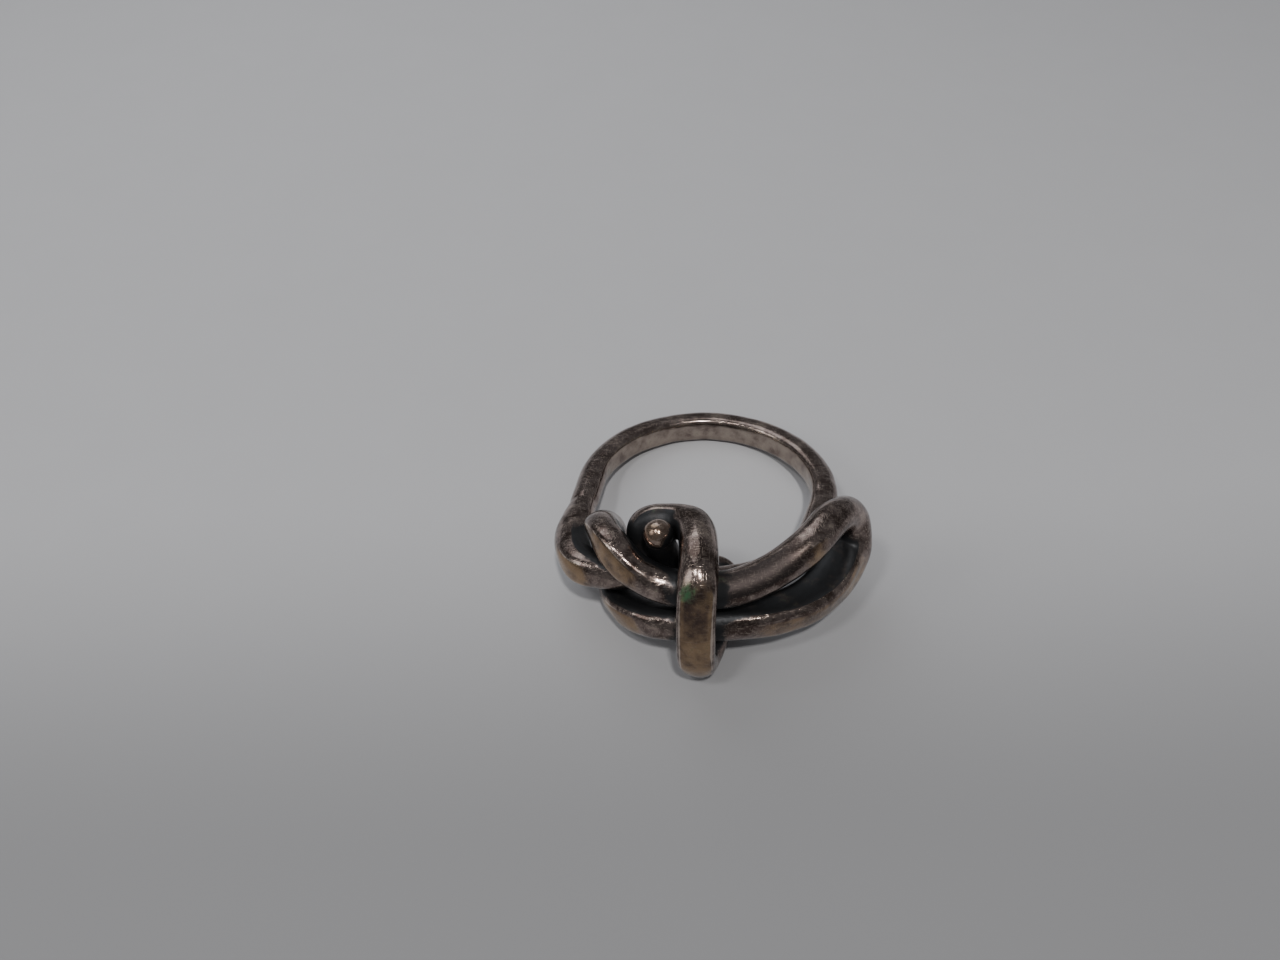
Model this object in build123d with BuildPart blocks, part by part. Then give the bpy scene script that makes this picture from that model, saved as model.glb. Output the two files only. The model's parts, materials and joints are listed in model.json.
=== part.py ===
"""Wire finger-ring puzzle: one long ring wire knotted round a closed, captive link.

The ring wire runs round the finger as a slim band. On the left it swells into a heavier
wire that turns the corner, passes through the left bight of the link, climbs in an arc,
drops over the front of both link strands as a wrap, turns under them, and comes up inside
as a thin stem that ends in a ball. The link is a closed oval of the same heavy wire, bent
to the ring's curve. It can't come off, and slides a little way round the ring.

Ring axes: the finger axis is the ring's own Z, the knot is at its front (-Y). The ring
lies on a table with its front tilted up, because it rests on the wrap and on the band's
back. The origin is the middle of the finger hole, +Z is up from the table.
"""

from build123d import *
import os
from math import acos, atan2, cos, degrees, hypot, pi, radians, sin, sqrt, tan

os.makedirs("parts", exist_ok=True)

# Driving dimensions, in millimetres and degrees
FINGER_D = 17.5  # finger hole
BAND_D = 2.3  # slim wire round the finger
KNOT_D = 2.7  # heavy wire of the corner, arc and wrap
LINK_D = 2.7  # wire of the captive link
TIP_D = 2.0  # stem that carries the ball
BALL_D = 2.2  # ball on the stem's end
INNER_FLAT = 0.10  # depth hammered flat inside the band
WEAR_FLAT = 0.35  # depth worn flat on the front of the wrap
RUN_GAP = 0.20  # link to band, and link to wrap, centre gap
STEM_GAP = 0.15  # stem to band
STEM_CLEAR = 0.19  # last bend of the stem to the link

KNOT_AT = -6.3  # where the wrap crosses the front, from the front's middle
BAND_END_AT = -8.0  # free end of the band, hidden behind the wrap
BAND_JOINS_AT = 72.0  # right side: the band leaves the finger circle here
SIDE_GAP = 0.598  # left side: the straight run clears the link's left bight by this much
BIGHT_AT = (-4.21, -1.54, 0.41)  # outermost point of the link's left bight, in gauges
TAPER_START = 3.4  # along the straight left run, from where it leaves the circle
TAPER_LEN = 2.6
BAND_FRONT_UP = 0.30  # the band's front run stands this far above the ring's middle
STRAND_UP = 1.65  # the link's upper strand, where it passes under the wrap

# Sizes that follow from them
gauge = (KNOT_D + LINK_D) / 2  # distance between touching heavy wires
finger_r = FINGER_D / 2
back_r = finger_r + BAND_D / 2 - INNER_FLAT
stem_r = finger_r + TIP_D / 2
front_r = stem_r + TIP_D / 2 + STEM_GAP + BAND_D / 2
band_to_link = (BAND_D + LINK_D) / 2 + RUN_GAP
link_r = front_r + sqrt(band_to_link**2 - (STRAND_UP - BAND_FRONT_UP) ** 2)
wrap_r = link_r + gauge + RUN_GAP


def polar(radius, angle, up):
    """Point on the ring: the angle is 0 at the front and grows towards +X."""
    return Vector(radius * sin(radians(angle)), -radius * cos(radians(angle)), up)


def knot_point(along, out, up):
    """Point of the knot in gauges: along the front from the wrap, out from the link, up."""
    angle = KNOT_AT + degrees(along * gauge / link_r)
    return polar(link_r + out * gauge, angle, up * gauge)


def inner_point(along, radius, up):
    """Point of the stem's run inside the band: only its length and height are in gauges."""
    return polar(radius, KNOT_AT + degrees(along * gauge / link_r), up * gauge)


def bend_radii(points, closed=False):
    """Radius of each corner, as large as the two runs beside it allow."""
    count = len(points)
    radii = []
    for i in range(0 if closed else 1, count if closed else count - 1):
        run_in = points[i] - points[i - 1]
        run_out = points[(i + 1) % count] - points[i]
        half_turn = radians(run_in.get_angle(run_out)) / 2
        radii.append(0.45 * min(run_in.length, run_out.length) / tan(half_turn))
    return radii


# Left side: a straight run that leaves the finger circle on a tangent and leans outward
# just enough to pass the link's left bight
bight = knot_point(*BIGHT_AT)
bight_clear = sqrt((gauge + SIDE_GAP) ** 2 - bight.Z**2)
side_lean = degrees(acos((back_r - bight_clear) / hypot(bight.X, bight.Y)) - atan2(-bight.Y, -bight.X))
side_angle = -90 - side_lean
side_start = polar(back_r, side_angle, 0)
side_dir = Vector(-sin(radians(side_lean)), -cos(radians(side_lean)), 0)
taper_start = side_start + side_dir * TAPER_START
taper_end = taper_start + side_dir * TAPER_LEN

# Heavy wire: corner, through the left bight, arc, wrap
wrap_top = knot_point(0.00, 0, 0.96)
wrap_low = knot_point(0.01, 0, -0.87)
knot_points = [
    taper_end,
    side_start + side_dir * (TAPER_START + TAPER_LEN + 0.9 * gauge),
    knot_point(-3.78, -0.12, 0.06),
    knot_point(-2.77, -0.38, 0.15),
    knot_point(-2.02, -0.86, 0.19),
    knot_point(-2.10, -1.27, 0.81),
    knot_point(-2.17, -1.36, 1.52),
    knot_point(-0.95, -1.66, 1.56),
    knot_point(-0.14, -1.23, 1.81),
    knot_point(-0.03, 0.47, 1.78),
    polar(wrap_r, KNOT_AT, wrap_top.Z),
    polar(wrap_r, KNOT_AT, wrap_low.Z),
    knot_point(0.11, 0.38, -1.76),
]

# Under the link the wire thins into the stem, then rises inside the band to the ball
under_start = knot_points[-1]
stem_points = [
    inner_point(1.19, stem_r + 0.25, -1.15),
    inner_point(1.15, stem_r, -0.15),
    inner_point(-0.16, stem_r, -0.11),
    inner_point(-0.95, stem_r + 0.65, 0.19),
    knot_point(-1.21, -((LINK_D + TIP_D) / 2 + STEM_CLEAR) / gauge, 0.82),
    knot_point(-1.26, -0.607, 1.87),
]
under_run = stem_points[0] - under_start
thin_start = under_start + under_run * 0.42
thin_end = under_start + under_run * 0.76
knot_points.append(thin_start)
stem_points.insert(0, thin_end)

# Link: upper strand, right bight, lower strand, left bight
link_points = [
    knot_point(*station)
    for station in (
        (-1.00, 0.01, 0.63),
        (0.03, 0.01, 0.59),
        (1.05, 0.01, 0.65),
        (2.17, -0.03, 1.07),
        (3.29, -0.16, 1.50),
        (4.50, -0.49, 1.67),
        (5.53, -0.53, 1.19),
        (5.67, -0.34, 0.19),
        (4.69, -0.16, -0.52),
        (3.38, 0.01, -0.72),
        (1.99, 0.03, -0.63),
        (0.87, 0.01, -0.56),
        (-0.25, 0.01, -0.61),
        (-1.28, 0.01, -0.76),
        (-2.26, -0.30, -0.96),
        (-3.09, -0.82, -1.11),
        (-4.07, -1.56, -0.67),
        BIGHT_AT,
        (-3.56, -0.77, 1.22),
        (-2.68, -0.16, 1.46),
        (-1.84, 0.05, 1.00),
    )
]

# The table touches the wrap's underside and the band's back
wrap_drop = -(under_start.Z * 0.97) + KNOT_D / 2 - BAND_D / 2
wrap_reach = (Vector(under_start.X, under_start.Y, 0).length + back_r) * 0.96
rest_tilt = atan2(wrap_drop, wrap_reach)
ring = Plane(origin=(0, 0, 0), x_dir=(1, 0, 0), z_dir=(0, sin(rest_tilt), cos(rest_tilt)))


def placed(points):
    """The same points, given in the ring's own axes, where the ring lies on the table."""
    return [ring.from_local_coords(point) for point in points]


def section_plane(point, direction):
    """Plane across the wire at a point given in the ring's own axes."""
    return Plane(ring.from_local_coords(point), z_dir=ring.from_local_coords(direction))


# Finger band: free end, front run that spirals in, finger circle, start of the left run
front_points = [polar(front_r, BAND_END_AT, BAND_FRONT_UP)]
for angle in (0, 15, 30, 45, 60):
    share = 0.5 + 0.5 * cos(pi * angle / BAND_JOINS_AT)
    front_points.append(polar(back_r + (front_r - back_r) * share, angle, BAND_FRONT_UP * share))
join_tangent = polar(back_r / cos(radians(6)), BAND_JOINS_AT, 0)
circle_start = polar(back_r, BAND_JOINS_AT + 6, 0)
circle_middle = polar(back_r, (BAND_JOINS_AT + 6 + 360 + side_angle) / 2, 0)
front_points += [join_tangent, circle_start]

with BuildPart() as finger_band:
    with BuildLine() as band_path:
        FilletPolyline(*placed(front_points), radius=bend_radii(front_points))
        ThreePointArc(*placed([circle_start, circle_middle, side_start]))
        Line(*placed([side_start, taper_start]))
    with BuildSketch(band_path.line ^ 0):
        Circle(BAND_D / 2)
    sweep(path=band_path.line)
    with Locations(ring.location):
        Cylinder(finger_r, 2 * BAND_D, mode=Mode.SUBTRACT)
finger_band.part.label = "finger_band"

# Knot wire: taper, heavy wire, second taper, stem
stem_dir = (stem_points[-1] - stem_points[-2]).normalized()
ball_centre = stem_points[-1]
seat_depth = sqrt((BALL_D / 2) ** 2 - (TIP_D / 2) ** 2)
ball_seat = ball_centre - stem_dir * seat_depth
stem_points[-1] = ball_seat

with BuildPart() as knot_wire:
    with BuildSketch(section_plane(taper_start, side_dir)):
        Circle(BAND_D / 2)
    with BuildSketch(section_plane(taper_end, side_dir)):
        Circle(KNOT_D / 2)
    loft()
    with BuildLine() as heavy_path:
        FilletPolyline(*placed(knot_points), radius=bend_radii(knot_points))
    with BuildSketch(heavy_path.line ^ 0):
        Circle(KNOT_D / 2)
    sweep(path=heavy_path.line)
    with BuildSketch(section_plane(thin_start, under_run)):
        Circle(KNOT_D / 2)
    with BuildSketch(section_plane(thin_end, under_run)):
        Circle(TIP_D / 2)
    loft()
    with BuildLine() as stem_path:
        FilletPolyline(*placed(stem_points), radius=bend_radii(stem_points))
    with BuildSketch(stem_path.line ^ 0):
        Circle(TIP_D / 2)
    sweep(path=stem_path.line)
    front_dir = polar(1, KNOT_AT, 0)
    worn_face = front_dir * (wrap_r + KNOT_D / 2 - WEAR_FLAT)
    split(bisect_by=section_plane(worn_face, front_dir), keep=Keep.BOTTOM)
knot_wire.part.label = "knot_wire"

with BuildPart() as ball_tip:
    with Locations(ring.from_local_coords(ball_centre)):
        Sphere(BALL_D / 2)
    split(bisect_by=section_plane(ball_seat, stem_dir), keep=Keep.TOP)
ball_tip.part.label = "ball_tip"

# The link is bent in two halves that meet in the middle of straight runs
link_radii = bend_radii(link_points, closed=True)
half = len(link_points) // 2
left_seam = (link_points[-1] + link_points[0]) / 2
right_seam = (link_points[half - 1] + link_points[half]) / 2
upper_half = [left_seam, *link_points[:half], right_seam]
lower_half = [right_seam, *link_points[half:], left_seam]

with BuildPart() as captive_link:
    with BuildLine() as upper_path:
        FilletPolyline(*placed(upper_half), radius=link_radii[:half])
    with BuildSketch(upper_path.line ^ 0):
        Circle(LINK_D / 2)
    sweep(path=upper_path.line)
    with BuildLine() as lower_path:
        FilletPolyline(*placed(lower_half), radius=link_radii[half:])
    with BuildSketch(lower_path.line ^ 0):
        Circle(LINK_D / 2)
    sweep(path=lower_path.line)
captive_link.part.label = "captive_link"

for name, points, closed in (
    ("band front", front_points, False),
    ("knot", knot_points, False),
    ("stem", stem_points, False),
    ("link", link_points, True),
):
    print(name, "bend radii", [round(r, 2) for r in bend_radii(points, closed)])
print("rest tilt", round(degrees(rest_tilt), 2), "link radius", round(link_r, 2))

export_step(finger_band.part, "parts/finger_band.step")
export_step(knot_wire.part, "parts/knot_wire.step")
export_step(ball_tip.part, "parts/ball_tip.step")
export_step(captive_link.part, "parts/captive_link.step")
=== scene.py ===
"""Looks of the wire finger-ring puzzle: a tarnished silver ring wire knotted round a captive link.

The wires are bent along the same stations as the solids, hammered, rubbed flat where the ring
is handled most, and dressed in one family of tarnished-silver finishes. Dark oxide sits in the
hollows, black shade is painted on the inner faces where the wires shade each other, and the
worn flats are warm and smooth. Lengths are in metres.
"""

import json
import logging
import math
from dataclasses import dataclass, field
from enum import Enum
from typing import Callable, Optional, Sequence, Union

import bpy
from mathutils import Matrix, Quaternion, Vector
from mathutils.bvhtree import BVHTree
from mathutils.kdtree import KDTree


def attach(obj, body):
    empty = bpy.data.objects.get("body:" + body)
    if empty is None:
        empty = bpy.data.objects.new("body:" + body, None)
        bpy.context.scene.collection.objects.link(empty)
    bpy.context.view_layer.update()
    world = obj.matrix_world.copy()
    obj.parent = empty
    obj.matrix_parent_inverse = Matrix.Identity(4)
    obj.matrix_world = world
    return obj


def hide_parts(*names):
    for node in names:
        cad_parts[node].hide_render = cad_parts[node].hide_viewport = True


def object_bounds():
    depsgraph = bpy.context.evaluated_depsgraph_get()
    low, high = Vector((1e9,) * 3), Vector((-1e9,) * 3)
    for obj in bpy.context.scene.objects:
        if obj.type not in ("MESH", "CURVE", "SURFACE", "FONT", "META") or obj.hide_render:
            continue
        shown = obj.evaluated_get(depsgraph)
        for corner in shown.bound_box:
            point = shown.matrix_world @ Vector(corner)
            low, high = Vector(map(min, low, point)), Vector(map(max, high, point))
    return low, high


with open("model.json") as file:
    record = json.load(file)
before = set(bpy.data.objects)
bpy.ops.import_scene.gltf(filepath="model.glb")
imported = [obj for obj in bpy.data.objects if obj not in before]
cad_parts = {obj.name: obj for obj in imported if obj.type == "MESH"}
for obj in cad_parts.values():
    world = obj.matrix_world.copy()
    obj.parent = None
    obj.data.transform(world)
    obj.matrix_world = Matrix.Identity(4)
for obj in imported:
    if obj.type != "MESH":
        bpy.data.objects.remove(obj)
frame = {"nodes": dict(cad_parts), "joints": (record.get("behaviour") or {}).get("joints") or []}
CAD_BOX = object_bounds()
MM = 0.001
LOG = logging.getLogger("ring")

Number = Union[int, float]
Paint = Union[Sequence[float], bpy.types.NodeSocket]


class Body(Enum):
    """The two bodies that the pieces ride on."""

    RING = "ring"
    LINK = "link"


# ---------------------------------------------------------------------------------------
# Shared sizes and places
# ---------------------------------------------------------------------------------------


@dataclass(frozen=True)
class RingSizes:
    """Driving sizes of the ring, in metres and degrees."""

    finger_r: float = 8.75 * MM
    band_d: float = 2.3 * MM
    knot_d: float = 2.7 * MM
    link_d: float = 2.7 * MM
    tip_d: float = 2.0 * MM
    ball_d: float = 2.2 * MM
    inner_flat: float = 0.10 * MM
    run_gap: float = 0.20 * MM
    stem_gap: float = 0.15 * MM
    knot_at: float = -6.3
    band_end_at: float = -8.0
    band_joins_at: float = 72.0
    side_gap: float = 0.598 * MM
    bight_at: Sequence[float] = (-4.21, -1.54, 0.41)
    taper_start: float = 3.4 * MM
    taper_len: float = 2.6 * MM
    band_front_up: float = 0.30 * MM
    strand_up: float = 1.65 * MM

    @property
    def gauge(self) -> float:
        """Distance between the middles of two heavy wires that touch."""
        return (self.knot_d + self.link_d) / 2

    @property
    def back_r(self) -> float:
        """Radius of the band's wire where it follows the finger."""
        return self.finger_r + self.band_d / 2 - self.inner_flat

    @property
    def stem_r(self) -> float:
        """Radius of the stem's run inside the band."""
        return self.finger_r + self.tip_d / 2

    @property
    def front_r(self) -> float:
        """Radius of the band's front run, which passes outside the stem."""
        return self.stem_r + self.tip_d / 2 + self.stem_gap + self.band_d / 2

    @property
    def link_r(self) -> float:
        """Radius of the link's strands under the wrap."""
        reach = (self.band_d + self.link_d) / 2 + self.run_gap
        return self.front_r + math.sqrt(reach**2 - (self.strand_up - self.band_front_up) ** 2)

    @property
    def side_lean(self) -> float:
        """Degrees that the straight left run leans outward, to pass the link's left bight."""
        along, out, up = self.bight_at
        radius = self.link_r + out * self.gauge
        turn = math.radians(-self.knot_at) - along * self.gauge / self.link_r
        clear = math.sqrt((self.gauge + self.side_gap) ** 2 - (up * self.gauge) ** 2)
        return math.degrees(math.acos((self.back_r - clear) / radius) - (math.pi / 2 - turn))

    @property
    def wrap_r(self) -> float:
        """Radius of the wrap where it crosses the front."""
        return self.link_r + self.gauge + self.run_gap


class RingPlace:
    """Places points of the tilted ring in the part's frame."""

    def __init__(self, sizes: RingSizes, finger_axis: Sequence[float]) -> None:
        """Sets the tilt from the finger axis.

        Args:
            sizes: the ring's sizes.
            finger_axis: direction of the finger hole in the part's frame.
        """
        self.sizes = sizes
        self.axis = Vector(finger_axis).normalized()
        tilt = math.atan2(self.axis.y, self.axis.z)
        self.turn = Matrix.Rotation(-tilt, 3, "X")

    def lay(self, point: Sequence[float]) -> Vector:
        """Turns a point or direction of the ring's own axes into the part's frame."""
        return self.turn @ Vector(point)

    def polar(self, radius: float, angle: float, up: float) -> Vector:
        """Point at a radius and an angle from the front, growing towards +X.

        Args:
            radius: distance from the finger axis.
            angle: degrees from the ring's front.
            up: height along the finger axis.

        Returns:
            The point in the part's frame.
        """
        a = math.radians(angle)
        return self.lay((radius * math.sin(a), -radius * math.cos(a), up))

    def knot(self, along: float, out: float, up: float) -> Vector:
        """Point of the knot, in gauges from where the wrap crosses the link."""
        s = self.sizes
        angle = s.knot_at + math.degrees(along * s.gauge / s.link_r)
        return self.polar(s.link_r + out * s.gauge, angle, up * s.gauge)

    def inner(self, along: float, radius: float, up: float) -> Vector:
        """Point of the stem's run: length and height in gauges, radius in metres."""
        s = self.sizes
        angle = s.knot_at + math.degrees(along * s.gauge / s.link_r)
        return self.polar(radius, angle, up * s.gauge)


@dataclass
class Station:
    """One point of a wire's route with the wire's diameter there."""

    place: Vector
    diameter: float


# ---------------------------------------------------------------------------------------
# Bench tools: selecting, bending, flattening
# ---------------------------------------------------------------------------------------


class Bench:
    """Small steps of mesh work, in the order that a bench would do it."""

    ROUNDNESS = 34
    SAME_PLACE = 1e-6
    SMOOTH_BELOW = math.radians(50)

    @staticmethod
    def clear() -> None:
        """Leaves nothing selected."""
        if bpy.context.object and bpy.context.object.mode != "OBJECT":
            bpy.ops.object.mode_set(mode="OBJECT")
        bpy.ops.object.select_all(action="DESELECT")

    @staticmethod
    def hold(obj: bpy.types.Object) -> None:
        """Selects one object and makes it active."""
        Bench.clear()
        obj.select_set(True)
        bpy.context.view_layer.objects.active = obj

    @staticmethod
    def pick(obj: bpy.types.Object, test: Callable[[Vector], bool]) -> int:
        """Selects the vertices whose place passes a test.

        Args:
            obj: mesh object.
            test: function of a vertex's place.

        Returns:
            How many vertices are selected.
        """
        Bench.hold(obj)
        bpy.ops.object.mode_set(mode="EDIT")
        bpy.ops.mesh.select_mode(type="VERT")
        bpy.ops.mesh.select_all(action="DESELECT")
        bpy.ops.object.mode_set(mode="OBJECT")
        count = 0
        for vertex in obj.data.vertices:
            vertex.select = bool(test(vertex.co))
            count += vertex.select
        bpy.ops.object.mode_set(mode="EDIT")
        return count

    @staticmethod
    def bend_wire(
        name: str, stations: Sequence[Station], closed: bool, steps: int, presses: Sequence["Press"] = ()
    ) -> bpy.types.Object:
        """Bends a round wire along a smooth route and makes it a mesh.

        Args:
            name: name of the new object.
            stations: control points of the route, with diameters.
            closed: whether the wire's ends are joined.
            steps: divisions between two stations.
            presses: stretches that are pressed flat on one side.

        Returns:
            The wire as a closed mesh object at the origin.
        """
        Bench.clear()
        bpy.ops.curve.primitive_nurbs_path_add(radius=1.0, location=(0, 0, 0))
        wire = bpy.context.object
        wire.name = name
        wire.data.name = name
        route = wire.data
        route.dimensions = "3D"
        route.twist_mode = "MINIMUM"
        spline = route.splines[0]
        spline.points.add(len(stations) - len(spline.points))
        for point, station in zip(spline.points, stations):
            point.co = (*station.place, 1.0)
            point.radius = station.diameter / stations[0].diameter
        spline.order_u = 3
        spline.use_cyclic_u = closed
        spline.use_endpoint_u = not closed
        spline.resolution_u = steps
        route.resolution_u = steps
        line = bpy.data.meshes.new_from_object(wire)
        section = WireSection([v.co.copy() for v in line.vertices], stations, closed)
        bpy.data.meshes.remove(line)
        route.bevel_depth = stations[0].diameter / 2
        route.bevel_resolution = Bench.ROUNDNESS
        route.use_fill_caps = not closed
        Bench.hold(wire)
        bpy.ops.object.convert(target="MESH")
        wire = bpy.context.object
        Bench.hold(wire)
        bpy.ops.object.mode_set(mode="EDIT")
        bpy.ops.mesh.select_all(action="SELECT")
        bpy.ops.mesh.remove_doubles(threshold=Bench.SAME_PLACE)
        bpy.ops.mesh.normals_make_consistent(inside=False)
        bpy.ops.object.mode_set(mode="OBJECT")
        section.work(wire, presses)
        return wire

    @staticmethod
    def hammer(wire: bpy.types.Object, size: float, depth: float, seed_shift: float) -> None:
        """Gives a wire the slight unevenness of hand work.

        Args:
            wire: mesh object.
            size: width of one dent.
            depth: height between the deepest and the highest place.
            seed_shift: moves the pattern, so that no two wires are alike.
        """
        dents = bpy.data.textures.new(wire.name + "_dents", "CLOUDS")
        dents.noise_scale = size
        dents.noise_depth = 1
        centre = bpy.data.objects.new(wire.name + "_dents_at", None)
        centre.location = (seed_shift, seed_shift * 0.7, -seed_shift)
        bpy.context.scene.collection.objects.link(centre)
        Bench.hold(wire)
        bpy.ops.object.modifier_add(type="DISPLACE")
        step = wire.modifiers[-1]
        step.texture = dents
        step.texture_coords = "OBJECT"
        step.texture_coords_object = centre
        step.strength = depth
        step.mid_level = 0.5
        bpy.context.view_layer.update()
        bpy.ops.object.modifier_apply(modifier=step.name)
        bpy.data.objects.remove(centre)

    @staticmethod
    def keep_inside(piece: bpy.types.Object, lowest: Vector, highest: Vector) -> None:
        """Flattens what the hammering pushed past the solids' box back onto it.

        Args:
            piece: mesh object.
            lowest: low corner of the box.
            highest: high corner of the box.
        """
        for side in range(3):
            for corner, sign in ((lowest, -1), (highest, 1)):
                past = Bench.pick(piece, lambda place: (place[side] - corner[side]) * sign > 0)
                if past:
                    scale = [1.0, 1.0, 1.0]
                    scale[side] = 0.0
                    bpy.ops.transform.resize(value=scale, center_override=corner)
                bpy.ops.object.mode_set(mode="OBJECT")

    @staticmethod
    def finish(wire: bpy.types.Object) -> None:
        """Smooths the shading of a finished piece."""
        Bench.hold(wire)
        bpy.ops.object.shade_smooth_by_angle(angle=Bench.SMOOTH_BELOW)


class Mark(Enum):
    """What a pressed flat looks like, or where shade is painted on it: numbers kept on the mesh for the
    finish.
    """

    RUBBED = "rubbed"
    # Black painted shade on the inner faces that the other wires shade.
    PAINTED_SHADE = "painted_shade"
    DULL = "dull"


@dataclass(frozen=True)
class Press:
    """A stretch of wire pressed or rubbed flat on one side.

    The wire keeps its bend: only its section changes, from round to a rounded box on the
    side that faces out, and a rubbed flat's corners become bright rims. The stretch runs
    between two of the wire's stations, and fades out past them.
    """

    start: float
    end: float
    depth: float
    facing: Optional[Vector] = None
    away_from: Optional[Vector] = None
    towards: Optional[Vector] = None
    fade: float = 0.6
    spread: float = 0.0
    squareness: float = 4.0
    mark: Mark = Mark.RUBBED
    strength: float = 1.0

    def out(self, middle: Vector) -> Vector:
        """Direction that the flat faces at one point of the wire's middle line."""
        if self.away_from is not None:
            return (middle - self.away_from).normalized()
        if self.towards is not None:
            return (self.towards - middle).normalized()
        return self.facing.normalized()

    def share(self, station: float) -> float:
        """How much of the press reaches a station."""
        rise = smooth_step(station, self.start - self.fade, self.start + self.fade)
        return rise * smooth_step(station, self.end + self.fade, self.end - self.fade)


class WireSection:
    """Middle line of a wire, kept so that its section can be worked along the bend.

    Turns round the section are given as shares of the turn at which a flat's corner sits.
    """

    SEARCH_STATIONS = 2.5
    CAP_RADIUS = 0.3
    FLAT_FULL = 0.84
    FLAT_GONE = 1.04
    RIM_AT = 0.98
    RIM_WIDTH = 0.12
    STEEP = 0.25
    SQUARE_ON = 0.7

    def __init__(self, line: Sequence[Vector], stations: Sequence[Station], closed: bool) -> None:
        """Keeps the line's points and directions.

        Args:
            line: points along the wire's middle.
            stations: the wire's stations, which number the line.
            closed: whether the line joins its start.
        """
        self.line = line
        self.closed = closed
        self.tree = KDTree(len(line))
        for i, point in enumerate(line):
            self.tree.insert(point, i)
        self.tree.balance()
        count = len(line)
        steps = count / len(stations) if closed else (count - 1) / (len(stations) - 1)
        self.number = [0.0] * count
        reach = self.SEARCH_STATIONS * steps
        places = [self._nearest(station.place, steps * n, reach) for n, station in enumerate(stations)]
        for n, place in enumerate(places):
            after = places[n + 1] if n + 1 < len(places) else (places[0] + count if closed else count)
            for i in range(place, max(after, place + 1)):
                self.number[i % count] = n + (i - place) / max(after - place, 1)

    def _nearest(self, place: Vector, guess: float, reach: float) -> int:
        """Point of the line nearest to a place, among those around a guess."""
        count = len(self.line)
        around = range(round(guess - reach), round(guess + reach) + 1)
        if not self.closed:
            around = [i for i in around if 0 <= i < count]
        return min(around, key=lambda i: (self.line[i % count] - place).length)

    def along(self, i: int) -> Vector:
        """Direction of the wire at one point of the line."""
        last = len(self.line) - 1
        before, after = (i - 1, (i + 1) % (last + 1)) if self.closed else (max(i - 1, 0), min(i + 1, last))
        return (self.line[after] - self.line[before]).normalized()

    def work(self, wire: bpy.types.Object, presses: Sequence[Press]) -> None:
        """Presses a wire's section and stores what the finish needs to know.

        Args:
            wire: mesh object, still round.
            presses: the stretches to press.
        """
        # One number per vertex for each mark; the painted-shade number says where black shade is painted.
        numbers = {name: [0.0] * len(wire.data.vertices) for name in ("rubbed", "painted_shade", "dull", "rim")}
        for n, vertex in enumerate(wire.data.vertices):
            middle, i, radius = self.tree.find(vertex.co)
            along = self.along(i)
            ray = vertex.co - middle
            ray -= along * ray.dot(along)
            if radius < self.CAP_RADIUS * MM or ray.length < self.CAP_RADIUS * radius:
                continue
            ray.normalize()
            shift = 0.0
            for press in presses:
                share = press.share(self.number[i])
                if share <= 0:
                    continue
                out = press.out(middle)
                out = out - along * out.dot(along)
                share *= smooth_step(out.length, self.STEEP, self.SQUARE_ON)
                cos = max(-1.0, min(1.0, ray.dot(out.normalized())))
                sin = math.sqrt(1 - cos * cos)
                wide = radius * (1 + press.spread)
                if cos <= 0:
                    shift += share * (((cos / radius) ** 2 + (sin / wide) ** 2) ** -0.5 - radius)
                    continue
                flat = radius - press.depth
                power = press.squareness
                reach = ((cos / flat) ** power + (sin / wide) ** power) ** (-1 / power)
                shift += share * (reach - radius)
                turn = math.atan2(sin, cos) / math.atan2(wide, flat)
                mark = share * press.strength
                face = numbers[press.mark.value]
                face[n] = max(face[n], mark * smooth_step(turn, self.FLAT_GONE, self.FLAT_FULL))
                if press.mark is Mark.RUBBED:
                    rim = mark * max(0.0, 1 - abs(turn - self.RIM_AT) / self.RIM_WIDTH)
                    numbers["rim"][n] = max(numbers["rim"][n], rim)
            vertex.co += ray * shift
        for name, values in numbers.items():
            store(wire, name, values)


def smooth_step(value: float, low: float, high: float) -> float:
    """Smooth step from 0 at low to 1 at high; low may be the larger."""
    share = max(0.0, min(1.0, (value - low) / (high - low)))
    return share * share * (3 - 2 * share)


def store(piece: bpy.types.Object, name: str, numbers: Sequence[float]) -> None:
    """Keeps one number per vertex under a name."""
    layer = piece.data.attributes.get(name) or piece.data.attributes.new(name, "FLOAT", "POINT")
    layer.data.foreach_set("value", numbers)


# ---------------------------------------------------------------------------------------
# Shader maths
# ---------------------------------------------------------------------------------------


class Value:
    """A number that varies over a surface: wraps a socket so that maths reads as maths."""

    def __init__(self, tree: "Tree", socket: bpy.types.NodeSocket) -> None:
        """Keeps the node tree and the socket that carries the number."""
        self.tree = tree
        self.socket = socket

    def _math(self, operation: str, *terms: Union["Value", Number]) -> "Value":
        """Adds one Math node."""
        inputs = {i: term for i, term in enumerate(terms)}
        return self.tree.value("ShaderNodeMath", {"operation": operation}, inputs)

    def __add__(self, other: Union["Value", Number]) -> "Value":
        """Sum."""
        return self._math("ADD", self, other)

    __radd__ = __add__

    def __mul__(self, other: Union["Value", Number]) -> "Value":
        """Product."""
        return self._math("MULTIPLY", self, other)

    __rmul__ = __mul__

    def __sub__(self, other: Union["Value", Number]) -> "Value":
        """Difference."""
        return self._math("SUBTRACT", self, other)

    def __rsub__(self, other: Union["Value", Number]) -> "Value":
        """Reflected difference, as in 1 - mask."""
        return self._math("SUBTRACT", other, self)

    def min(self, other: Union["Value", Number]) -> "Value":
        """The smaller of two."""
        return self._math("MINIMUM", self, other)

    def ramp(self, low: float, high: float) -> "Value":
        """Smooth step from 0 at low to 1 at high.

        Args:
            low: where the step starts.
            high: where it ends; it may be less than low.

        Returns:
            The stepped value.
        """
        settings = {"interpolation_type": "SMOOTHSTEP"}
        inputs = {"Value": self, "From Min": min(low, high), "From Max": max(low, high)}
        if low > high:
            inputs.update({"To Min": 1.0, "To Max": 0.0})
        return self.tree.value("ShaderNodeMapRange", settings, inputs)


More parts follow.
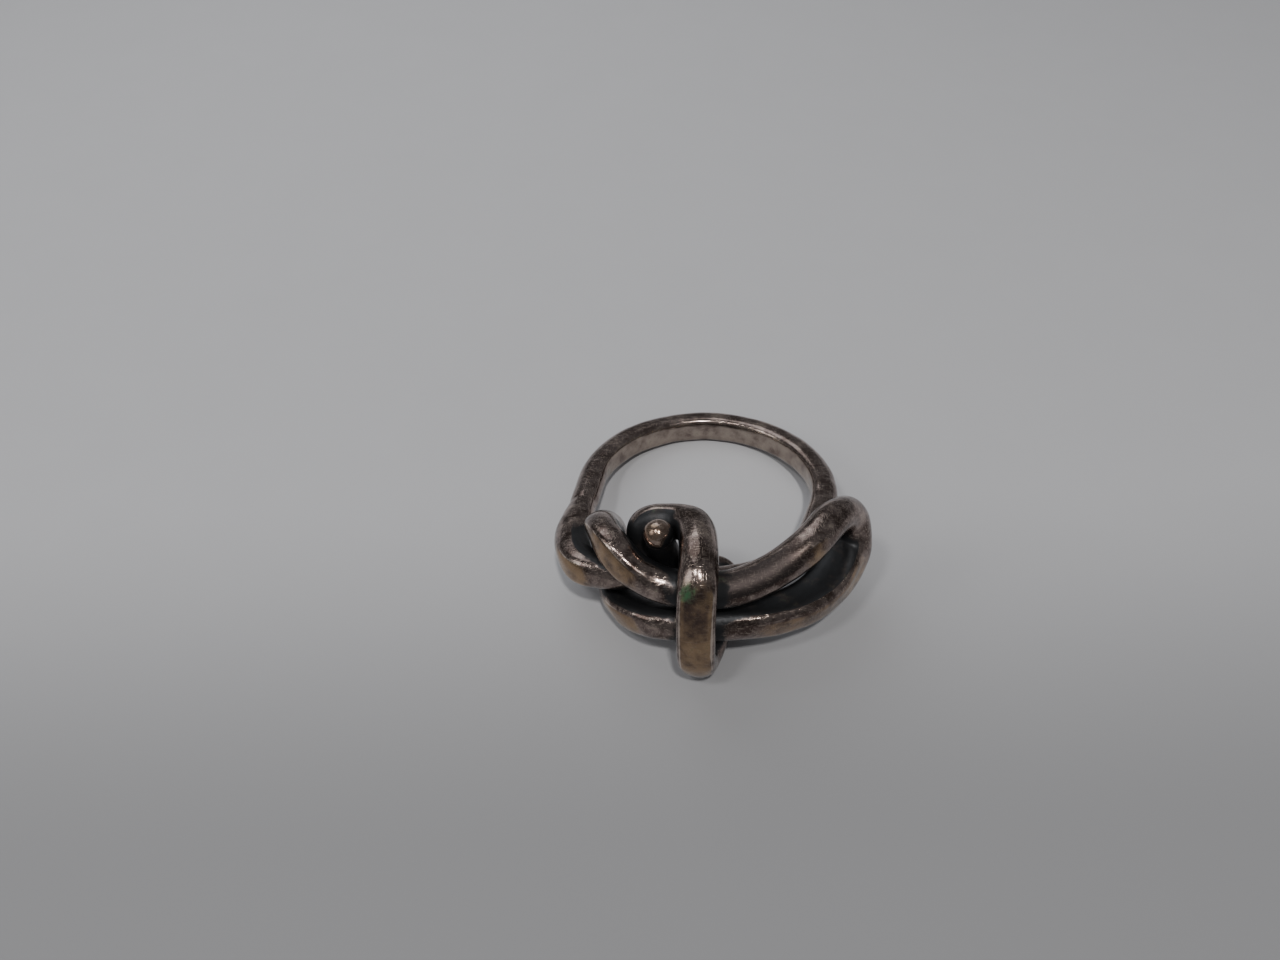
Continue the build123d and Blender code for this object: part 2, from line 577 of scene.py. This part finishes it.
class Tree:
    """Node tree of one material, with a single way to add a node."""

    def __init__(self, material: bpy.types.Material) -> None:
        """Starts from an empty tree."""
        material.use_nodes = True
        self.nodes = material.node_tree.nodes
        self.links = material.node_tree.links
        self.nodes.clear()

    def node(
        self, kind: str, settings: Optional[dict] = None, inputs: Optional[dict] = None
    ) -> bpy.types.Node:
        """Adds a node.

        Args:
            kind: the node's type.
            settings: properties set before its sockets.
            inputs: values or links of its sockets, by name or number.

        Returns:
            The node.
        """
        node = self.nodes.new(kind)
        for name, setting in (settings or {}).items():
            setattr(node, name, setting)
        for name, given in (inputs or {}).items():
            socket = node.inputs[name]
            if isinstance(given, Value):
                self.links.new(given.socket, socket)
            elif isinstance(given, bpy.types.NodeSocket):
                self.links.new(given, socket)
            else:
                socket.default_value = given
        return node

    def value(
        self,
        kind: str,
        settings: Optional[dict] = None,
        inputs: Optional[dict] = None,
        output: Union[int, str] = 0,
    ) -> Value:
        """Adds a node and returns one of its outputs as a number."""
        return Value(self, self.node(kind, settings, inputs).outputs[output])

    def noise(
        self, scale: float, detail: float = 3.0, rough: float = 0.55, stretch: Sequence[float] = (1, 1, 1)
    ) -> Value:
        """Noise over the object's own coordinates, about 0 to 1.

        Args:
            scale: size of one patch, in metres.
            detail: octaves.
            rough: weight of the finer octaves.
            stretch: scale along each axis.

        Returns:
            The noise.
        """
        coords = self.node("ShaderNodeTexCoord").outputs["Object"]
        repeats = [k / scale for k in stretch]
        placed = self.node("ShaderNodeMapping", None, {"Vector": coords, "Scale": repeats})
        inputs = {"Vector": placed.outputs[0], "Scale": 1.0, "Detail": detail, "Roughness": rough}
        return self.value("ShaderNodeTexNoise", None, inputs)

    def attribute(self, name: str) -> Value:
        """A number stored on the mesh."""
        return self.value("ShaderNodeAttribute", {"attribute_name": name}, None, "Fac")

    def blend(self, mask: Value, below: Paint, above: Paint) -> bpy.types.NodeSocket:
        """Mixes two colours by a mask.

        Args:
            mask: 0 for below, 1 for above.
            below: colour or link.
            above: colour or link.

        Returns:
            The mixed colour's socket.
        """
        given = []
        for colour in (below, above):
            given.append(colour if isinstance(colour, bpy.types.NodeSocket) else (*colour, 1.0))
        node = self.node("ShaderNodeMix", {"data_type": "RGBA"}, {"Factor": mask, 6: given[0], 7: given[1]})
        return node.outputs[2]


# ---------------------------------------------------------------------------------------
# Finishes
# ---------------------------------------------------------------------------------------


@dataclass(frozen=True)
class TarnishedSilver:
    """Old silver: pinkish grey metal, brown film, black oxide in the recesses, black painted shade on
    shaded inner faces, rubbed faces.
    """

    name: str
    slot: str
    metal: Sequence[float] = (0.42, 0.335, 0.295)
    film: Sequence[float] = (0.235, 0.184, 0.168)
    stain: Sequence[float] = (0.100, 0.071, 0.062)
    # Black of the oxide in the hollows, also used as painted shade.
    oxide_and_shade: Sequence[float] = (0.031, 0.032, 0.035)
    rubbed: Sequence[float] = (0.40, 0.278, 0.176)
    bright: Sequence[float] = (0.72, 0.61, 0.52)
    verdigris: Sequence[float] = (0.03, 0.13, 0.055)
    oxide_reach: float = 0.84
    green: bool = False

    def make(self) -> bpy.types.Material:
        """Builds the material.

        Returns:
            The material, reading the exposure, rubbed, painted shade, rim, dull and green numbers of the
            mesh.
        """
        material = bpy.data.materials.new(self.name)
        tree = Tree(material)
        exposure = tree.attribute("exposure")
        rubbed = tree.attribute("rubbed")
        painted_shade = tree.attribute("painted_shade")
        rim = tree.attribute("rim")
        dull = tree.attribute("dull")
        cloud = tree.noise(1.8 * MM, 2.0)
        patch = tree.noise(0.85 * MM, 3.0, 0.55)
        fleck = tree.noise(0.30 * MM, 3.0, 0.60)
        file_mark = tree.noise(0.50 * MM, 2.0, 0.5, (1.0, 7.0, 2.5)).ramp(0.57, 0.66)
        scratch = tree.noise(0.45 * MM, 2.0, 0.5, (8.0, 1.2, 2.0)).ramp(0.58, 0.66)

        mottle = (cloud - 0.5) + (patch - 0.5) + 0.15 * (fleck - 0.5)
        open_face = exposure + 0.26 * mottle
        # Painted shade: black laid on inner faces that other wires shade; the real oxide in the hollows
        # comes from exposure.
        painted_shade_mask = (painted_shade + 0.50 * mottle).ramp(0.22, 0.62)
        oxide_and_shade = (open_face.ramp(self.oxide_reach, self.oxide_reach - 0.16) + painted_shade_mask).min(1.0)
        shine = (0.5 + 1.7 * mottle).ramp(0.55, 1.05) * exposure.ramp(0.70, 0.95) * (1 - dull)
        bare = (rubbed + 0.40 * mottle).ramp(0.30, 0.62)
        edge = (rim + 0.8 * mottle).ramp(0.40, 0.80)

        colour = tree.blend(shine, self.film, self.metal)
        colour = tree.blend((0.5 - 1.6 * mottle + 0.6 * dull).ramp(0.38, 0.80), colour, self.stain)
        # Colour of the black oxide and of the painted shade, flecked with stain.
        dark = tree.blend((0.5 + 1.2 * mottle).ramp(0.55, 1.05) * 0.6, self.oxide_and_shade, self.stain)
        colour = tree.blend(dull * (1 - bare) * 0.62, colour, self.oxide_and_shade)
        # Black oxide in the hollows and black painted shade on the shaded inner faces.
        colour = tree.blend(oxide_and_shade, colour, dark)
        worn = tree.blend((0.5 + 0.7 * mottle - 0.7 * dull).ramp(0.14, 0.66), self.stain, self.rubbed)
        colour = tree.blend(bare, colour, worn)
        colour = tree.blend(edge * 0.8, colour, self.bright)
        marks = file_mark + scratch
        seen = marks.min(1.0) * (1 - oxide_and_shade) * (1 - 0.75 * bare) * (1 - 0.8 * dull)
        colour = tree.blend(seen * 0.34, colour, self.bright)
        green = (tree.attribute("green") + 0.5 * mottle + 0.5 * (fleck - 0.5)).ramp(0.10, 0.55)
        colour = tree.blend(green * 0.8, colour, self.verdigris)

        roughness = 0.165 - 0.04 * shine + 0.26 * oxide_and_shade + 0.12 * (fleck - 0.5) * (1 - dull) + 0.34 * dull
        metallic = 1.0 - 0.30 * oxide_and_shade - 0.8 * green
        height = fleck * 0.16 + patch * 0.8 + cloud * 0.3 - oxide_and_shade * 0.15 - marks * 0.10
        relief = {"Strength": 0.40, "Distance": 0.07 * MM, "Height": height}
        bump = tree.node("ShaderNodeBump", None, relief)
        shader = tree.node(
            "ShaderNodeBsdfPrincipled",
            None,
            {
                "Base Color": colour,
                "Roughness": roughness,
                "Metallic": metallic,
                "Normal": bump.outputs[0],
            },
        )
        tree.node("ShaderNodeOutputMaterial", None, {"Surface": shader.outputs[0]})
        return material


@dataclass(frozen=True)
class PaperFloor:
    """Plain pale floor, with painted shade that darkens it towards its near side, for the light's fall-off
    and the ring's soft shadow.
    """

    name: str = "paper"
    colour: Sequence[float] = (0.545, 0.55, 0.575)
    fleck_gain: float = 1.04
    # Painted shade: how dark the floor's colour gets on its near side.
    near_shade_gain: float = 0.58
    darkens_from: float = 4 * MM
    darkest_at: float = -30 * MM

    def make(self) -> bpy.types.Material:
        """Builds the floor's material."""
        material = bpy.data.materials.new(self.name)
        tree = Tree(material)
        fleck = tree.noise(6.0 * MM, 3.0)
        colour = tree.blend(fleck, self.colour, [c * self.fleck_gain for c in self.colour])
        coords = tree.node("ShaderNodeTexCoord").outputs["Object"]
        across = tree.value("ShaderNodeSeparateXYZ", None, {"Vector": coords}, "Y")
        # Painted shade: the floor's colour darkens towards the near side.
        near = across.ramp(self.darkens_from, self.darkest_at)
        colour = tree.blend(near, colour, [c * self.near_shade_gain for c in self.colour])
        shader = tree.node("ShaderNodeBsdfPrincipled", None, {"Base Color": colour, "Roughness": 0.85})
        tree.node("ShaderNodeOutputMaterial", None, {"Surface": shader.outputs[0]})
        return material


# ---------------------------------------------------------------------------------------
# Sub-assemblies
# ---------------------------------------------------------------------------------------


@dataclass
class FingerBand:
    """Slim wire round the finger, hammered flat inside."""

    sizes: RingSizes
    place: RingPlace
    finish: TarnishedSilver = TarnishedSilver(
        "band_finish",
        "band_silver",
        rubbed=(0.38, 0.320, 0.272),
        film=(0.255, 0.203, 0.187),
        stain=(0.155, 0.116, 0.104),
        oxide_reach=0.70,
    )

    def stations(self) -> list[Station]:
        """Route: free end, front run, finger circle, straight left side."""
        s, p = self.sizes, self.place
        route = [p.polar(s.front_r, s.band_end_at, s.band_front_up)]
        for angle in (0, 15, 30, 45, 60):
            share = 0.5 + 0.5 * math.cos(math.pi * angle / s.band_joins_at)
            route.append(p.polar(s.back_r + (s.front_r - s.back_r) * share, angle, s.band_front_up * share))
        step = 12.0
        side_angle = 270 - s.side_lean
        count = round((side_angle - s.band_joins_at) / step)
        step = (side_angle - s.band_joins_at) / count
        corner_r = s.back_r / math.cos(math.radians(step / 2))
        for i in range(count):
            route.append(p.polar(corner_r, s.band_joins_at + step * (i + 0.5), 0))
        lean = math.radians(s.side_lean)
        start = (-s.back_r * math.cos(lean), s.back_r * math.sin(lean), 0)
        for along in (0.5 * s.taper_start, s.taper_start, s.taper_start + 0.7 * s.taper_len):
            route.append(p.lay((start[0] - math.sin(lean) * along, start[1] - math.cos(lean) * along, 0)))
        stations = [Station(point, s.band_d) for point in route[:-1]]
        return stations + [Station(route[-1], s.band_d * 0.80)]

    def build(self) -> bpy.types.Object:
        """Bends the band, hammered flat where the finger goes."""
        inside = Press(
            6,
            len(self.stations()) - 4,
            0.12 * MM,
            towards=Vector((0, 0, 0)),
            spread=0.04,
            squareness=3.6,
            strength=0.62,
        )
        wire = Bench.bend_wire("band", self.stations(), closed=False, steps=14, presses=[inside])
        Bench.hammer(wire, size=2.4 * MM, depth=0.09 * MM, seed_shift=0.3)
        Bench.finish(wire)
        return wire


@dataclass
class KnotWire:
    """Heavy wire: corner, arc and wrap, then the stem that carries the ball."""

    sizes: RingSizes
    place: RingPlace
    finish: TarnishedSilver = TarnishedSilver("knot_finish", "knot_silver", green=True)

    def stations(self) -> list[Station]:
        """Route of the whole wire, with its tapers."""
        s, p = self.sizes, self.place
        lean = math.radians(s.side_lean)
        start = Vector((-s.back_r * math.cos(lean), s.back_r * math.sin(lean), 0))
        side = Vector((-math.sin(lean), -math.cos(lean), 0))

        def left(along: float) -> Vector:
            return p.lay(start + side * along)

        taper_end = s.taper_start + s.taper_len
        route = [
            Station(left(s.taper_start - 0.30 * s.taper_len), s.band_d * 0.82),
            Station(left(s.taper_start + 0.25 * s.taper_len), s.band_d * 0.97),
            Station(left(taper_end), s.knot_d * 1.02),
            Station(left(taper_end + 0.9 * s.gauge), s.knot_d * 1.03),
        ]
        heavy = [
            (-3.88, -0.10, 0.06, 1.05),
            (-2.77, -0.38, 0.15, 1.0),
            (-2.02, -0.86, 0.19, 1.0),
            (-2.10, -1.27, 0.81, 1.0),
            (-2.17, -1.36, 1.52, 1.0),
            (-0.95, -1.66, 1.56, 0.98),
            (-0.10, -1.23, 1.81, 1.06),
            (0.03, 0.47, 1.78, 1.04),
        ]
        route += [Station(p.knot(a, o, u), s.knot_d * k) for a, o, u, k in heavy]
        for up in (0.96, -0.87):
            route.append(Station(p.polar(s.wrap_r, s.knot_at, up * s.gauge), s.knot_d * 0.98))
        under = p.knot(0.11, 0.38, -1.76)
        rise = p.inner(1.19, s.stem_r + 0.25 * MM, -1.15)
        route += [
            Station(under, s.knot_d),
            Station(under.lerp(rise, 0.42), s.knot_d * 0.97),
            Station(under.lerp(rise, 0.76), s.tip_d * 1.03),
            Station(rise, s.tip_d),
            Station(p.inner(1.15, s.stem_r, -0.15), s.tip_d),
            Station(p.inner(-0.16, s.stem_r, -0.11), s.tip_d),
            Station(p.inner(-0.95, s.stem_r + 0.65 * MM, 0.19), s.tip_d),
            Station(p.knot(-1.15, -0.941, 0.82), s.tip_d * 1.18),
            Station(self.ball_seat(), s.tip_d * 1.04),
        ]
        return route

    def ball_centre(self) -> Vector:
        """Middle of the ball."""
        return self.place.knot(-1.26, -0.607, 1.87)

    def stem_dir(self) -> Vector:
        """Direction of the stem as it reaches the ball."""
        low = self.place.knot(-1.21, -0.941, 0.82)
        return (self.ball_centre() - low).normalized()

    def ball_seat(self) -> Vector:
        """Where the stem's end meets the ball."""
        s = self.sizes
        depth = math.sqrt((s.ball_d / 2) ** 2 - (s.tip_d / 2) ** 2)
        return self.ball_centre() - self.stem_dir() * depth

    def presses(self) -> list[Press]:
        """Where the heavy wire is rubbed flat, and where black shade is painted on its shaded inner faces.
        """
        s, p = self.sizes, self.place
        heart = p.polar(s.link_r, s.knot_at, 0.05 * s.gauge)
        cavity = p.knot(-1.3, -0.7, 1.5)
        wrap = Press(11.5, 13.5, 0.40 * MM, away_from=heart, fade=0.8, spread=0.05, squareness=3.8)
        wrap_stain = Press(
            11.7, 12.1, 0.02 * MM, away_from=heart, squareness=2.2, mark=Mark.DULL, strength=0.6
        )
        outer_side = p.polar(1, -66, -0.10)
        corner = Press(3.3, 4.5, 0.10 * MM, facing=outer_side, squareness=3.2, strength=0.85)
        # Painted shade: black on the inner faces of the arc and the corner, where other wires shade them.
        painted_shade = {"squareness": 2.4, "mark": Mark.PAINTED_SHADE}
        arc = Press(6.0, 9.3, 0.04 * MM, towards=p.knot(-1.1, 0.0, 2.7), fade=0.9, **painted_shade)
        arc_end = Press(9.3, 11.3, 0.04 * MM, towards=cavity, fade=0.9, **painted_shade)
        corner_inside = Press(2.9, 5.2, 0.04 * MM, towards=p.knot(-2.9, -1.1, 1.6), fade=1.0, **painted_shade)
        return [wrap, wrap_stain, corner, arc, arc_end, corner_inside]

    def build(self) -> bpy.types.Object:
        """Bends the wire and rubs its faces."""
        wire = Bench.bend_wire("knot", self.stations(), closed=False, steps=22, presses=self.presses())
        Bench.hammer(wire, size=2.0 * MM, depth=0.09 * MM, seed_shift=0.9)
        Bench.finish(wire)
        return wire


@dataclass
class BallTip:
    """Ball on the stem's end."""

    sizes: RingSizes
    knot: KnotWire
    finish: TarnishedSilver = TarnishedSilver(
        "ball_finish",
        "ball_silver",
        film=(0.36, 0.265, 0.215),
        stain=(0.20, 0.14, 0.11),
        rubbed=(0.36, 0.26, 0.19),
    )

    def build(self) -> bpy.types.Object:
        """Shapes the ball with a small foot where it is soldered to the stem."""
        s = self.sizes
        Bench.clear()
        turn = self.knot.stem_dir().to_track_quat("Z", "Y")
        bpy.ops.mesh.primitive_uv_sphere_add(
            segments=64, ring_count=40, radius=s.ball_d / 2, location=(0, 0, 0)
        )
        ball = bpy.context.object
        ball.name = "ball"
        ball.data.name = "ball"
        seat = -math.sqrt((s.ball_d / 2) ** 2 - (s.tip_d / 2) ** 2)
        Bench.pick(ball, lambda place: True)
        bpy.ops.mesh.bisect(plane_co=(0, 0, seat), plane_no=(0, 0, 1), use_fill=True, clear_inner=True)
        bpy.ops.object.mode_set(mode="OBJECT")
        Bench.hammer(ball, size=1.1 * MM, depth=0.05 * MM, seed_shift=1.7)
        ball.data.transform(Matrix.Translation(self.knot.ball_centre()) @ turn.to_matrix().to_4x4())
        worn = Vector((-0.45, -0.45, 0.80)).normalized()
        store(ball, "rubbed", [smooth_step(v.normal.dot(worn), 0.78, 0.93) for v in ball.data.vertices])
        Bench.finish(ball)
        return ball


@dataclass
class CaptiveLink:
    """Closed oval link: upper strand, right loop, lower strand, left bight."""

    sizes: RingSizes
    place: RingPlace
    finish: TarnishedSilver = TarnishedSilver("link_finish", "link_silver")

    def stations(self) -> list[Station]:
        """Route of the link with the wire's small changes of thickness."""
        s, p = self.sizes, self.place
        route = [
            (-1.00, 0.01, 0.63, 1.0),
            (0.03, 0.01, 0.59, 1.0),
            (1.05, 0.01, 0.65, 1.0),
            (2.17, -0.03, 1.07, 1.0),
            (3.29, -0.16, 1.50, 1.0),
            (4.50, -0.49, 1.67, 1.0),
            (5.53, -0.53, 1.19, 1.04),
            (5.60, -0.37, 0.23, 1.20),
            (4.65, -0.24, -0.40, 1.30),
            (3.38, -0.06, -0.64, 1.20),
            (1.99, 0.00, -0.60, 1.08),
            (0.87, 0.01, -0.56, 1.02),
            (-0.25, 0.01, -0.61, 1.0),
            (-1.28, 0.01, -0.76, 1.0),
            (-2.26, -0.30, -0.96, 1.0),
            (-3.09, -0.82, -1.11, 1.0),
            (-4.07, -1.56, -0.67, 1.0),
            (*s.bight_at, 1.0),
            (-3.56, -0.77, 1.22, 1.0),
            (-2.68, -0.16, 1.46, 1.0),
            (-1.84, 0.05, 1.00, 1.0),
        ]
        return [Station(p.knot(a, o, u), s.link_d * k) for a, o, u, k in route]

    def build(self) -> bpy.types.Object:
        """Bends the link."""
        wire = Bench.bend_wire("link", self.stations(), closed=True, steps=22, presses=self.presses())
        Bench.hammer(wire, size=2.2 * MM, depth=0.09 * MM, seed_shift=2.6)
        Bench.finish(wire)
        return wire

    def presses(self) -> list[Press]:
        """Where the link is rubbed flat, and where black shade is painted on its shaded inner faces."""
        p = self.place
        bight = Press(
            17.9,
            20.2,
            0.26 * MM,
            facing=Vector((-0.68, -0.70, 0.10)),
            fade=0.7,
            spread=0.05,
            squareness=3.6,
        )
        low_left = Press(
            13.3, 15.3, 0.26 * MM, facing=Vector((-0.22, -0.95, 0.10)), squareness=3.4, strength=0.9
        )
        patch = Press(
            3.5, 4.1, 0.12 * MM, facing=Vector((0.3, -0.91, 0.05)), fade=0.5, squareness=3.0, strength=0.7
        )
        low_right = Press(
            7.2, 10.6, 0.14 * MM, facing=Vector((0.1, -0.97, -0.12)), fade=0.7, squareness=3.2, strength=0.5
        )
        # Painted shade: black inside the right loop and on the lower left strand's top, where the other
        # strands shade them.
        inner_right = Press(
            6.6, 10.9, 0.06 * MM, towards=p.knot(3.5, -0.1, 2.1), fade=0.9, squareness=3.0, mark=Mark.PAINTED_SHADE
        )
        inner_left = Press(
            12.7, 16.8, 0.05 * MM, towards=p.knot(-2.3, -0.5, 2.0), fade=0.6, squareness=2.8, mark=Mark.PAINTED_SHADE
        )
        dull = Press(
            1.0, 3.6, 0.02 * MM, facing=Vector((0.0, -0.45, 0.87)), squareness=2.2, mark=Mark.DULL
        )
        return [bight, low_left, patch, low_right, inner_right, inner_left, dull]


# ---------------------------------------------------------------------------------------
# Wear: numbers stored on the meshes for the finishes
# ---------------------------------------------------------------------------------------


class Wear:
    """Works out how open each place of the surface is to rubbing."""

    REACH = 4.0 * MM
    LIFT = 0.03 * MM
    FAR_HIT = 0.6
    RAYS = 32
    QUICK_RAYS = 12

    def __init__(self, pieces: Sequence[bpy.types.Object]) -> None:
        """Gathers the pieces into one tree that rays can be sent at."""
        self.pieces = pieces
        points: list[Vector] = []
        faces: list[tuple[int, ...]] = []
        for piece in pieces:
            base = len(points)
            points += [v.co.copy() for v in piece.data.vertices]
            faces += [tuple(base + i for i in face.vertices) for face in piece.data.polygons]
        self.tree = BVHTree.FromPolygons(points, faces)
        self.rays = self._rays(self.RAYS)

    @staticmethod
    def _rays(count: int) -> list[Vector]:
        """Directions spread over a half sphere, denser towards its pole."""
        golden = math.pi * (3 - math.sqrt(5))
        rays = []
        for i in range(count):
            rise = math.sqrt(1 - (i + 0.5) / count)
            flat = math.sqrt(1 - rise * rise)
            rays.append(Vector((flat * math.cos(golden * i), flat * math.sin(golden * i), rise)))
        return rays

    def openness(self, place: Vector, normal: Vector) -> float:
        """Share of the rays that leave a place freely."""
        turn = normal.to_track_quat("Z", "Y")
        start = place + normal * self.LIFT
        open_share = 0.0
        for ray in self.rays:
            hit = self.tree.ray_cast(start, turn @ ray, self.REACH)
            open_share += 1.0 if hit[0] is None else self.FAR_HIT * hit[3] / self.REACH
        return open_share / len(self.rays)

    def mark(self, piece: bpy.types.Object, green: Optional[tuple[Vector, float]] = None) -> None:
        """Stores exposure and the green spot.

        Args:
            piece: mesh object.
            green: place and radius of a spot of verdigris, if it has one.
        """
        vertices = piece.data.vertices
        store(piece, "exposure", [self.openness(v.co, v.normal) for v in vertices])
        if green:
            centre, radius = green
            store(piece, "green", [max(0.0, 1 - (v.co - centre).length / radius) for v in vertices])


# ---------------------------------------------------------------------------------------
# Setting: floor, light, camera
# ---------------------------------------------------------------------------------------


@dataclass(frozen=True)
class Lamp:
    """One soft square light.

    Args:
        name: the light's name.
        azimuth: degrees from the front, towards +X.
        elevation: degrees above the floor.
        distance: metres from the finger hole.
        size: side of the square, in metres.
        power: watts.
        warmth: colour.
    """

    name: str
    azimuth: float
    elevation: float
    distance: float
    size: float
    power: float
    warmth: Sequence[float]


@dataclass
class Studio:
    """Pale floor, soft light and the camera."""

    floor_z: float
    focal: float = 28.125
    distance: float = 85.55 * MM
    elevation: float = 47.44
    roll: float = -1.5
    sky: Sequence[float] = (0.80, 0.81, 0.83)
    sky_strength: float = 0.22
    aim: Vector = field(default_factory=lambda: Vector((-5.54, 1.50, -0.30)) * MM)

    def lay_floor(self) -> bpy.types.Object:
        """Adds the floor under the ring's lowest point."""
        Bench.clear()
        bpy.ops.mesh.primitive_plane_add(size=2.0, location=(0, 0, 0))
        floor = bpy.context.object
        floor.name = "floor"
        floor.data.transform(Matrix.Translation((0, 0, self.floor_z)))
        floor.data.materials.append(PaperFloor().make())
        return floor

    def place_camera(self) -> None:
        """Adds the camera at its distance, height and roll."""
        tilt = math.radians(self.elevation)
        back = Vector((0, -math.cos(tilt), math.sin(tilt)))
        data = bpy.data.cameras.new("camera")
        data.lens = self.focal
        data.sensor_width = 36.0
        data.clip_start = 0.001
        camera = bpy.data.objects.new("camera", data)
        bpy.context.scene.collection.objects.link(camera)
        camera.location = self.aim + back * self.distance
        turn = (-back).to_track_quat("-Z", "Y") @ Quaternion((0, 0, 1), math.radians(self.roll))
        camera.rotation_mode = "QUATERNION"
        camera.rotation_quaternion = turn
        bpy.context.scene.camera = camera

    @staticmethod
    def light(lamp: Lamp) -> None:
        """Adds one soft square light that faces the ring."""
        data = bpy.data.lights.new(lamp.name, "AREA")
        data.shape = "SQUARE"
        data.size = lamp.size
        data.energy = lamp.power
        data.color = lamp.warmth
        stand = bpy.data.objects.new(lamp.name, data)
        bpy.context.scene.collection.objects.link(stand)
        a, e = math.radians(lamp.azimuth), math.radians(lamp.elevation)
        away = Vector((math.sin(a) * math.cos(e), -math.cos(a) * math.cos(e), math.sin(e)))
        stand.location = away * lamp.distance
        stand.rotation_mode = "QUATERNION"
        stand.rotation_quaternion = (-away).to_track_quat("-Z", "Y")

    def set_lights(self) -> None:
        """Adds the sky and the lamps."""
        world = bpy.data.worlds.new("room")
        bpy.context.scene.world = world
        world.use_nodes = True
        background = world.node_tree.nodes["Background"]
        background.inputs["Color"].default_value = (*self.sky, 1)
        background.inputs["Strength"].default_value = self.sky_strength
        lamps = (
            Lamp("lamp", 6, 64, 0.50, 0.030, 0.95, (1.0, 0.97, 0.93)),
            Lamp("spot", -48, 62, 0.50, 0.060, 0.36, (1.0, 0.98, 0.96)),
            Lamp("window", -150, 50, 0.22, 0.16, 0.10, (0.96, 0.98, 1.0)),
            Lamp("side", -75, 35, 0.50, 0.20, 0.26, (1.0, 0.99, 0.97)),
        )
        for lamp in lamps:
            self.light(lamp)


def main() -> None:
    """Builds the pieces in order, dresses them and sets the scene."""
    logging.basicConfig(level=logging.INFO, format="%(message)s")
    axis = frame["joints"][0]["axis"]
    sizes = RingSizes()
    place = RingPlace(sizes, axis)
    for node in frame["nodes"].values():
        node.select_set(False)

    studio = Studio(CAD_BOX[0][2])
    studio.lay_floor()
    studio.place_camera()
    studio.set_lights()

    band = FingerBand(sizes, place)
    knot = KnotWire(sizes, place)
    ball = BallTip(sizes, knot)
    link = CaptiveLink(sizes, place)
    jobs = (
        (band, "finger_band", Body.RING),
        (knot, "knot_wire", Body.RING),
        (ball, "ball_tip", Body.RING),
        (link, "captive_link", Body.LINK),
    )
    built = []
    for maker, node, body in jobs:
        piece = maker.build()
        Bench.keep_inside(piece, *CAD_BOX)
        piece.data.materials.clear()
        piece.data.materials.append(maker.finish.make())
        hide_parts(node)
        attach(piece, body.value)
        LOG.info("%s: %d vertices on %s", piece.name, len(piece.data.vertices), body.value)
        built.append(piece)

    wear = Wear(built)
    spot = (place.knot(-0.24, 1.30, 1.58), 1.20 * MM)
    for piece in built:
        wear.mark(piece, spot if piece.name == "knot" else None)


if __name__ == "__main__":
    main()
